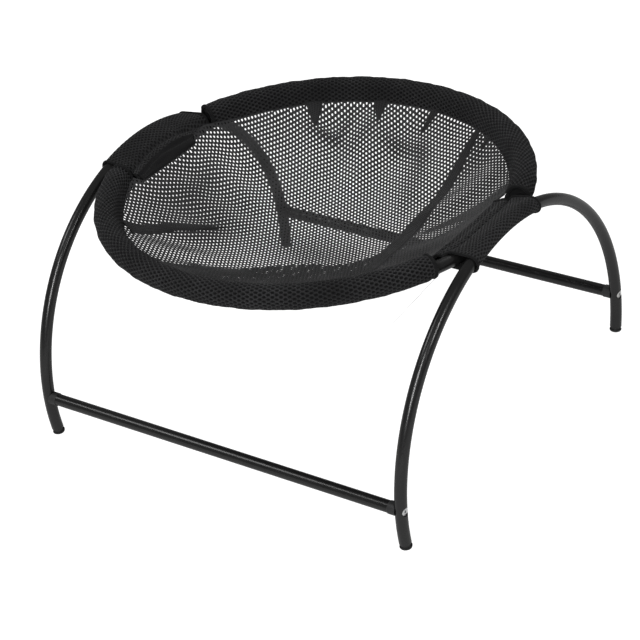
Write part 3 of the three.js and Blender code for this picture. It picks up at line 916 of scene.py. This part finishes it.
def pocket_grid(side, hems, rows=90, columns=200):
    """One taut outline for each place along Y, all with the same number of points."""
    girths, grid = [], []
    for y in np.linspace(*hems, rows):
        z = ARCH_CENTRE + np.sqrt(ARCH_RADIUS**2 - y**2)
        ring = np.sqrt(RIM_RADIUS**2 - y**2)
        circles = [(arch_x(z), z, POCKET_WRAP), (ring, RIM_HEIGHT, POCKET_WRAP),
                   (sewn_edge(side, y), SEAM_HEIGHT, SEWN_RADIUS)]
        outline, girth = wrapped(circles, np.pi, columns)
        inwards = ring - outline[:, 0]
        above = np.linspace(0, 1, columns) < 0.5
        groove = 3.6 * MM * np.exp(-(((inwards - GROOVE) / (2.2 * MM)) ** 2))
        beyond = np.clip((inwards - 14 * MM) / (3 * MM), 0, 1)
        ridges = 1.5 * MM * np.sin((inwards - 15 * MM) / (1.9 * MM)) * beyond
        outline[:, 1] -= np.where(above, groove - ridges * (0.6 + 0.4 * np.sin(90 * y)), 0)
        grid.append(np.stack([side * outline[:, 0], np.full(columns, y), outline[:, 1]], -1))
        girths.append(girth)
    return np.stack(grid), float(np.mean(girths))


def inner_fold(grid, side, columns=24):
    """A pocket's loose inner part turned over as a near-black band, its darkness partly painted shade:
    two soft rolls along the sewn edge, each cut of it a closed loop laid on the outline."""
    rows = []
    for row in grid[2:-2]:
        ring = np.sqrt(RIM_RADIUS**2 - row[0, 1] ** 2)
        upper = row[: len(row) // 2]
        inwards = ring - side * upper[:, 0]
        order = np.argsort(inwards)
        reach = np.linspace(FOLD_START, inwards.max() - 0.2 * MM, columns)
        x = side * (ring - reach)
        z = np.interp(reach, inwards[order], upper[order, 2])
        share = np.linspace(0, 1, columns)
        bulge = 2.2 * MM * np.sin(np.pi * share) ** 0.5 * (0.75 + 0.25 * np.cos(2 * TAU * share))
        bulge *= 1 + 0.25 * np.sin(70 * row[0, 1] + 6 * share)
        top = np.stack([x, row[:columns, 1], z + bulge], -1)
        under = np.stack([x, row[:columns, 1], z - 0.6 * MM * np.sin(np.pi * share)], -1)[::-1]
        rows.append(np.concatenate([top, under[1:-1]]))
    rows = np.stack(rows)
    return rows.reshape(-1, 3), solid_faces(*rows.shape[:2])


# %% Pockets
POCKETS = {"left": (-1, LEFT_HEMS), "right": (1, RIGHT_HEMS)}
for side_name, (side, hems) in POCKETS.items():
    grid, girth = pocket_grid(side, hems)
    size = (hems[1] - hems[0], girth)
    pattern = honeycomb(POCKET_PITCH, (0, 0), size, *strip(*size), (0.74, 0.56), upright=True)
    taut = on_grid(grid[::-1] if side > 0 else grid, size)
    points, faces, depth = spacer_cloth(pattern, taut, POCKET_CLOTH, POCKET_DIMPLE)
    made = piece(f"{side_name}_pocket", points, faces, SPACER_MESH, "spacer_mesh", crease=75,
                 replaces=[f"{side_name}_side_pocket"], depth=depth)
    points, faces = join_meshes([bead(grid[k][:-1], POCKET_CLOTH) for k in (0, -1)])
    piece(f"{side_name}_pocket_hems", points, faces, HEM_AND_SHADE_CLOTH, "spacer_mesh")
    # Only the left pocket gets the fold; its near-black cloth paints the shade that lies under that pocket.
    if side_name == "left":
        piece("left_pocket_fold_painted_shade", *inner_fold(grid, side), HEM_AND_SHADE_CLOTH, "spacer_mesh")
    print(made.name, [round(x, 3) for x in size], "m flat;", len(made.data.polygons), "faces")

# %% [markdown]
# ## The net bowl
#
# The net is one piece of open knitted net. Its edge is round at the front and the rear and straight
# along the two pockets. It sags to a shallow bowl, steepest at the seam and nearly flat in the middle.
# A flat net can't become a bowl without being taken up somewhere, so the maker folds it into pleats,
# and between them the cloth lies in slow ripples.

# %% Bowl shape
BOWL_DEPTH = 68 * MM
BOWL_FULLNESS = 2.1
NET_EDGE = SEAM_RADIUS - 0.3 * MM
# Short pleats at the rear: angle at the rim, length inwards and width at the rim in millimetres, lean.
DARTS = [(125, 28, 20, -3), (103.5, 27, 16, 8), (84, 27, 12, -6), (58, 17, 8, 20)]
DART_TAPER = np.array([1, 0.78, 0.55, 0.3, 0.06])


def bowl_edge(angle):
    """Distance from the middle to the edge: a circle, but between a pocket's hems the sewn edge."""
    far = np.full_like(angle, NET_EDGE)
    for side, hems in POCKETS.values():
        facing = side * np.cos(angle) > 0.3
        slope = np.tan(angle) * np.sign(np.cos(angle))
        y = sewn_edge(side, POCKET_SEAM * slope) * slope
        edge = sewn_edge(side, y) / np.maximum(np.abs(np.cos(angle)), 0.3)
        within = 1 - ease(np.maximum(hems[0] - y, y - hems[1]) / (5 * MM))
        far = np.where(facing, far + (np.minimum(edge, NET_EDGE) - far) * within, far)
    return far


def bowl_reach(angle):
    """How far the bowl's shape reaches: the smaller of a circle and two straight lines, blended."""
    straight_edge = sewn_edge(1, 0.0) / np.maximum(np.abs(np.cos(angle)), 1e-6)
    return (NET_EDGE**-24.0 + straight_edge**-24.0) ** (-1 / 24)


# Soft folds: plan X and Y of the middle, direction in degrees, length and width, depth, closing.
FOLDS = [
    (-88, 141, 2, 20, 6, 2.6, 0.42), (-73, 155, 80, 16, 5, 2.0, 0.30), (-48, 158, 70, 24, 8, 1.8, 0.2),
    (0, 158, 170, 28, 9, 2.4, 0.34), (32, 150, 120, 26, 8, 2.0, 0.25), (40, 112, 110, 40, 12, 2.0, 0.18),
    (-110, -56, 62, 30, 12, 2.4, 0.35), (-150, -5, 100, 34, 9, 1.6, 0.22), (-60, -125, 40, 34, 9, 1.8, 0.25),
]
FOLD_DEPTH, FOLD_CLOSING = 5, 6


def folds(x, y, column):
    """The sum over the soft folds of a long bell times the number in one of their columns."""
    total = np.zeros_like(x)
    for fold in FOLDS:
        a = np.radians(fold[2])
        along_it = ((x - fold[0] * MM) * np.cos(a) + (y - fold[1] * MM) * np.sin(a)) / (fold[3] * MM)
        across_it = ((y - fold[1] * MM) * np.cos(a) - (x - fold[0] * MM) * np.sin(a)) / (fold[4] * MM)
        total += fold[column] * np.exp(-(along_it**2) - across_it**2)
    return total


def ripples(x, y):
    """Slow folds that run in from the rim beside each pleat and fade out halfway down."""
    angle, far = np.arctan2(y, x), np.hypot(x, y)
    share = far / bowl_reach(angle)
    fade = ease((share - 0.35) / 0.4) * ease((1.0 - share) / 0.12)
    rear = np.clip(np.sin(angle), 0, 1)
    lift = 2.8 * MM * np.sin(11 * angle + 0.6) * rear + 1.5 * MM * np.sin(17 * angle + 2.0)
    return lift * fade + folds(x, y, FOLD_DEPTH) * MM * ease((1.0 - share) / 0.12)


def bowl_height(x, y):
    """Seam height less the depth times (1 - share^fullness), plus the ripples."""
    share = np.hypot(x, y) / bowl_reach(np.arctan2(y, x))
    return SEAM_HEIGHT - BOWL_DEPTH * (1 - np.minimum(share, 1.05) ** BOWL_FULLNESS) + ripples(x, y)


def on_bowl(places):
    """Flat places above the bowl become points on it; the way out is square to its two slopes."""
    x, y = places.T
    step = 0.2 * MM
    slope_x = (bowl_height(x + step, y) - bowl_height(x - step, y)) / (2 * step)
    slope_y = (bowl_height(x, y + step) - bowl_height(x, y - step)) / (2 * step)
    out = unit(np.stack([-slope_x, -slope_y, np.ones_like(x)], -1))
    return np.stack([x, y, bowl_height(x, y)], -1), out


# %% Net
NET_PITCH = 4.6 * MM
NET_THICKNESS = 1.5 * MM
NET_OPENING = 0.45
NET_PULL = np.array([[1.03, -0.08], [-0.26, 1.0]])  # the knit is stretched a little askew: its rows lean


def net_openings(p):
    """The openings draw together where the net is gathered: near the seam, round the left pleat, just in
    front of the middle, and beyond the long pleat on the right."""
    share = np.hypot(*p.T) / bowl_edge(np.arctan2(p[:, 1], p[:, 0]))
    left = np.exp(-(((p[:, 0] + 135 * MM) / (55 * MM)) ** 2) - ((p[:, 1] + 45 * MM) / (70 * MM)) ** 2)
    right = ease((p[:, 0] - 78 * MM) / (14 * MM))
    low = np.exp(-(((p[:, 0] - 8 * MM) / (60 * MM)) ** 2) - ((p[:, 1] + 14 * MM) / (28 * MM)) ** 2)
    closed = 0.08 * ease((share - 0.7) / 0.3) + 0.34 * left + 0.28 * right + 0.3 * low
    return NET_OPENING * (1 - closed) * (1 - np.minimum(folds(*p.T, FOLD_CLOSING), 0.5))


def net_inside(p):
    return np.hypot(*p.T) < bowl_edge(np.arctan2(p[:, 1], p[:, 0])) - 0.2 * MM


def net_to_edge(p):
    return p * (bowl_edge(np.arctan2(p[:, 1], p[:, 0])) / np.hypot(*p.T))[:, None]


WHOLE = np.array([1.3, 1.3]) * NET_EDGE
pattern = honeycomb(NET_PITCH, -WHOLE, WHOLE, net_inside, net_to_edge, net_openings, pull=NET_PULL)
points, faces = net_cloth(pattern, on_bowl, NET_THICKNESS)
net = piece("net_bowl_net", points, faces, NET, "net", crease=80, replaces=["net_bowl"])
print(net.name, len(net.data.polygons), "faces")

# %% [markdown]
# Along the front more net was cut than the bowl needs. The slack is turned under and lies as a second
# layer just below the first, so this part looks darker. The turned edge wanders from the long pleat
# on the right to the front.

# %% Turned-under net
TURN_UNDER = np.array([[-120, -185], [-78, -140], [-54, -94], [-20, -50], [-2, -34], [36, -20], [58, -4],
                       [70, 14], [200, 24]]) * MM
UNDER_GAP = 3.2 * MM
UNDER_PULL = np.array([[1.0, 0.12], [0.2, 1.02]])


def under_inside(p):
    return net_inside(p) & (p[:, 0] > np.interp(p[:, 1], *TURN_UNDER.T[::-1]))


def under_to_edge(p):
    near = np.hypot(*p.T) > bowl_edge(np.arctan2(p[:, 1], p[:, 0])) - 4 * MM
    return np.where(near[:, None], net_to_edge(p), p)


def below_bowl(places):
    at, out = on_bowl(places)
    return at - out * UNDER_GAP, out


def under_openings(p):
    """Slack net isn't pulled open as far: 0.68 of the first layer's openings."""
    return 0.68 * net_openings(p)


pattern = honeycomb(NET_PITCH, -WHOLE, WHOLE, under_inside, under_to_edge, under_openings, pull=UNDER_PULL)
points, faces = net_cloth(pattern, below_bowl, NET_THICKNESS)
under = piece("turned_under_net", points, faces, NET, "net", crease=80)
print(under.name, len(under.data.polygons), "faces")

# %% [markdown]
# ## Pleats
#
# A pleat is the same net folded back on itself, so three layers lie on each other and hardly any
# light comes through. Each is a narrow closed strip on the inside of the bowl, widest at the seam and
# tapering to nothing, a little rounded across, with the net's own honeycomb in its surface.

# %% Pleats
PLEAT_THICKNESS = 1.3 * MM
PLEAT_PITCH = 2.2 * MM


def pleat(name, path, widths):
    """A strip laid on the bowl along a plan path of points, as wide as widths says at each, bulging in
    the middle; its underside is sunk just below the net."""
    path, widths = np.asarray(path, float), np.asarray(widths, float)
    length = np.concatenate([[0], np.hypot(*np.diff(path, axis=0).T).cumsum()])
    rows, columns = 80, 24
    s = np.linspace(0, length[-1], rows)
    spread = np.linspace(-0.5, 0.5, columns)
    line = np.stack([np.interp(s, length, path[:, k]) for k in (0, 1)], -1)
    for _ in range(12):
        line[1:-1] = (line[:-2] + 2 * line[1:-1] + line[2:]) / 4
    wide = np.interp(s, length, widths)
    ahead = unit(np.gradient(line, axis=0))
    across = np.stack([-ahead[:, 1], ahead[:, 0]], -1)
    plan = line[:, None] + across[:, None] * (wide[:, None] * spread[None])[..., None]
    at, out = on_bowl(plan.reshape(-1, 2))
    crown = (1 - (2 * spread) ** 4)[None] * (0.35 + 0.65 * np.minimum(wide / (6 * MM), 1))[:, None]
    top = at + out * (NET_THICKNESS / 2 + PLEAT_THICKNESS * crown.reshape(-1, 1))
    grid = top.reshape(rows, columns, 3)
    size = (length[-1], float(wide.mean()))
    pattern = honeycomb(PLEAT_PITCH, (0, 0), size, *strip(*size), 0.55)
    points, faces, depth = spacer_cloth(pattern, on_grid(grid, size), PLEAT_THICKNESS, 0.35 * MM)
    return piece(name, points, faces, NET, "net", crease=75, depth=depth)


def polar(angle, far):
    return [far * np.cos(np.radians(angle)), far * np.sin(np.radians(angle))]


pleats = []
for number, (angle, length, width, lean) in enumerate(DARTS, 1):
    rim = np.array(polar(angle, NET_EDGE + 1 * MM))
    inwards = np.array(polar(angle + 180 + lean, length * MM))
    path = rim + inwards * np.linspace(0, 1, 5)[:, None]
    pleats.append(pleat(f"rear_pleat_{number}", path, width * MM * DART_TAPER))
LEFT_PLEAT = np.array([[-142, -137], [-135, -109], [-128, -83], [-116, -66], [-107, -50], [-99, -33]]) * MM
pleats.append(pleat("left_pleat", LEFT_PLEAT, np.array([20, 14, 12, 11, 7, 1]) * MM))
RIGHT_PLEAT = np.array([[87, 179], [84, 130], [82, 92], [81, 50], [82, 10], [86, -30], [92, -70]]) * MM
pleats.append(pleat("right_pleat", RIGHT_PLEAT, np.array([8, 12, 14, 20, 22, 16, 6]) * MM))
print("pleats:", len(pleats))

# %% [markdown]
# ## Stitching
#
# Lock stitches hold the net to the sleeves and close the pockets. Each visible stitch is a short
# thread that bows up between two needle holes. It is repeated hundreds of times, so it has few faces.

# %% Stitches
def stitches(line, out, spacing=3.0 * MM, length=2.2 * MM, radius=0.28 * MM):
    """A bowed capsule every spacing along a line of points; out is the way up from the cloth."""
    far = np.concatenate([[0], np.linalg.norm(np.diff(line, axis=0), axis=1).cumsum()])
    middles = np.arange(spacing / 2, far[-1], spacing)
    rings, corners = 7, 6
    steps = np.linspace(-0.5, 0.5, rings)
    where = middles[:, None] + steps[None] * length
    spine = np.stack([np.interp(where, far, line[:, k]) for k in range(3)], -1)
    up = np.stack([np.interp(where, far, out[:, k]) for k in range(3)], -1)
    up = unit(up)
    spine = spine + up * ((1 - (2 * steps) ** 2) * 0.5 * MM)[None, :, None]
    side = unit(np.cross(np.gradient(spine, axis=1), up))
    section = circle(radius, corners)
    thick = np.sqrt(np.maximum(1 - (2 * steps) ** 6, 0.08))[None, :, None, None]
    ring = section[:, :1] * side[:, :, None] + section[:, 1:] * up[:, :, None]
    points = spine[:, :, None] + thick * ring
    first = rings * corners * np.arange(len(middles))[:, None, None]
    faces = [(f[None] + first).reshape(-1, f.shape[1]) for f in solid_faces(rings, corners)]
    return points.reshape(-1, 3), flipped(faces)


for end_name in ENDS:
    start, stop = SLEEVE_ENDS[end_name]
    grid = sleeve_grid(start, stop, rows=300)
    edge, inner = grid[:, 4], grid[:, 9]  # just past the sewn fold, and a little further round
    lift = unit(np.cross(np.gradient(edge, axis=0), inner - edge))
    lift *= np.sign(lift[:, 2:])
    points, faces = stitches(edge + lift * 0.1 * MM, lift)
    piece(f"{end_name}_seam_stitches", points, faces, THREAD, "spacer_mesh")
for side_name, (side, hems) in POCKETS.items():
    grid, _ = pocket_grid(side, hems)
    ring = np.sqrt(RIM_RADIUS**2 - grid[:, 0, 1] ** 2)
    column = np.abs(ring[:, None] - np.abs(grid[:, :90, 0]) - GROOVE - 0.5 * MM).argmin(1)
    line = grid[np.arange(len(grid)), column]
    points, faces = stitches(line + [0, 0, 0.1 * MM], np.tile([0.0, 0.0, 1.0], (len(line), 1)))
    piece(f"{side_name}_pocket_stitches", points, faces, THREAD, "spacer_mesh")

# %% [markdown]
# ## Floor and light
#
# The bed stands on a sheet of pale opal acrylic that glows a little from below, so it hardly shows a
# shadow. Three soft lights and one tall strip give the
# tubes their long highlights.

# %% Floor
def opal(strength, uplight):
    """White to the camera, but it throws less light up at the bed than it shows."""
    material = bpy.data.materials.new("Opal sheet")
    material.use_nodes = True
    tree = material.node_tree
    shader = tree.nodes["Principled BSDF"]
    set_inputs(shader, {
        "Base Color": (0.45, 0.45, 0.45, 1), "Roughness": 0.9, "Emission Color": (1, 1, 1, 1),
    })
    path = node(tree, "ShaderNodeLightPath")
    glow = node(tree, "ShaderNodeMapRange", {3: uplight, 4: strength})
    tree.links.new(path.outputs["Is Camera Ray"], glow.inputs[0])
    tree.links.new(glow.outputs[0], shader.inputs["Emission Strength"])
    return material


def floor():
    """One square, 12 m from its middle to each side."""
    far = 12.0
    mesh = bpy.data.meshes.new("floor")
    mesh.from_pydata([(-far, -far, 0), (far, -far, 0), (far, far, 0), (-far, far, 0)], [], [(0, 1, 2, 3)])
    mesh.materials.append(opal(0.96, 0.25))
    made = add_object("floor", mesh)
    made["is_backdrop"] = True


floor()


# %% Lights
def soft_light(name, place, target, size, power):
    """A rectangular area light at a place, turned to face its target."""
    data = bpy.data.lights.new(name, "AREA")
    data.shape = "RECTANGLE"
    data.size, data.size_y = size
    data.energy = power
    made = add_object(name, data)
    made.location = place
    made.rotation_mode = "QUATERNION"
    made.rotation_quaternion = (Vector(place) - Vector(target)).to_track_quat("Z", "Y")


MIDDLE = (0, 0, 0.2)
soft_light("key", (-1.6, -1.2, 2.2), MIDDLE, (0.7, 0.7), 9)
soft_light("fill", (2.3, -0.9, 2.2), MIDDLE, (0.3, 0.7), 15)
soft_light("strip", (0.7, -2.3, 1.6), MIDDLE, (0.24, 1.3), 34)
soft_light("back", (0.4, 2.2, 2.4), MIDDLE, (1.8, 0.6), 20)


def surroundings(light, seen):
    """The room lights the bed softly with one grey, and the camera sees a nearly white one."""
    world = bpy.data.worlds.new("studio")
    bpy.context.scene.world = world
    world.use_nodes = True
    tree = world.node_tree
    background = tree.nodes["Background"]
    path = node(tree, "ShaderNodeLightPath")
    tint(tree, path.outputs["Is Camera Ray"], (light,) * 3, (seen,) * 3, background.inputs["Color"])


surroundings(0.16, 1.0)
bpy.context.scene.view_settings.view_transform = "Standard"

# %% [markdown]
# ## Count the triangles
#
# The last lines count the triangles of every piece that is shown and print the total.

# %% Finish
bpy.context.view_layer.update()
triangles = sum(sum(len(p.vertices) - 2 for p in o.data.polygons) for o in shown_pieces())
print("triangles:", triangles)
